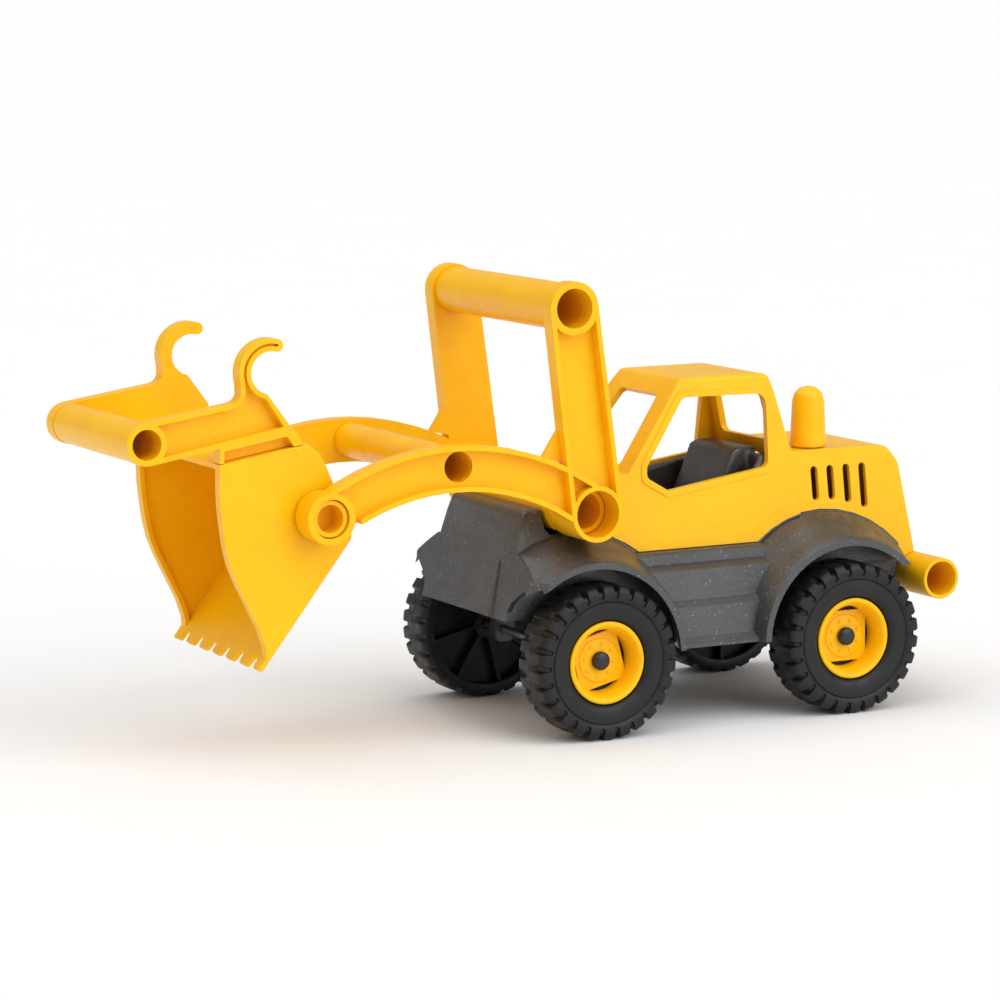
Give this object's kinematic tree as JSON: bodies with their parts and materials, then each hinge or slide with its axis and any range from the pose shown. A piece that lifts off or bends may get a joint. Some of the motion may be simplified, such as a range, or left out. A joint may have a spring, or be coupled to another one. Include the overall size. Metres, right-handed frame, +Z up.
{
  "type": "toy wheel loader",
  "caption": "Toy wheel loader with a lifting loader frame, a tilting bucket that hooks onto a cross tube, an open cab and free-rolling treaded wheels.",
  "frame": {"origin": "on the ground, at the centre of the overall length and width", "axes": "+X to the rear of the vehicle, +Y to its right side, +Z up"},
  "size_m": [0.409, 0.1426, 0.2054],
  "materials": {
    "yellow_plastic": "satin moulded plastic, warm yellow with a few tiny dark specks",
    "grey_plastic": "satin moulded wood-fibre plastic, dark grey with pale and brown specks",
    "tyre_black": "matte black moulded tyre",
    "cap_black": "satin black moulded plastic",
    "steel": "plain drawn steel"
  },
  "bodies": {
    "chassis": {"chassis_shell": "grey_plastic", "cabin_floor": "grey_plastic", "cabin_front": "grey_plastic", "seat_back": "grey_plastic", "cabin_side_right": "grey_plastic", "cabin_side_left": "grey_plastic", "cab_shell": "yellow_plastic", "rear_tube": "yellow_plastic", "exhaust_stack": "yellow_plastic", "deck_screw_1": "steel", "deck_screw_2": "steel", "deck_screw_3": "steel", "deck_screw_4": "steel", "axle_front": "steel", "axle_rear": "steel", "axle_cap_front_left": "cap_black", "axle_cap_front_right": "cap_black", "axle_cap_rear_left": "cap_black", "axle_cap_rear_right": "cap_black"},
    "loader_frame": {"loader_side_right": "yellow_plastic", "loader_side_left": "yellow_plastic", "handle_tube": "yellow_plastic", "cross_tube": "yellow_plastic"},
    "bucket": {"bucket_shell": "yellow_plastic", "hook_arm_right": "yellow_plastic", "hook_arm_left": "yellow_plastic", "grip_tube": "yellow_plastic"},
    "wheel_front_left": {"tyre_front_left": "tyre_black", "rim_front_left": "yellow_plastic"},
    "wheel_front_right": {"tyre_front_right": "tyre_black", "rim_front_right": "yellow_plastic"},
    "wheel_rear_left": {"tyre_rear_left": "tyre_black", "rim_rear_left": "yellow_plastic"},
    "wheel_rear_right": {"tyre_rear_right": "tyre_black", "rim_rear_right": "yellow_plastic"}
  },
  "joints": [
    {"name": "loader_lift", "type": "hinge", "parent": "chassis", "child": "loader_frame", "pos_m": [0.013, 0, 0.1013], "axis": [0, 1, 0], "range_deg": [-16, 52]},
    {"name": "bucket_tilt", "type": "hinge", "parent": "loader_frame", "child": "bucket", "pos_m": [-0.117, 0, 0.1085], "axis": [0, 1, 0], "range_deg": [-60, 92.5]},
    {"name": "spin_front_left", "type": "hinge", "parent": "chassis", "child": "wheel_front_left", "pos_m": [0.0143, 0, 0.035], "axis": [0, 1, 0], "continuous": true},
    {"name": "spin_front_right", "type": "hinge", "parent": "chassis", "child": "wheel_front_right", "pos_m": [0.0143, 0, 0.035], "axis": [0, 1, 0], "continuous": true},
    {"name": "spin_rear_left", "type": "hinge", "parent": "chassis", "child": "wheel_rear_left", "pos_m": [0.1432, 0, 0.035], "axis": [0, 1, 0], "continuous": true},
    {"name": "spin_rear_right", "type": "hinge", "parent": "chassis", "child": "wheel_rear_right", "pos_m": [0.1432, 0, 0.035], "axis": [0, 1, 0], "continuous": true}
  ]
}
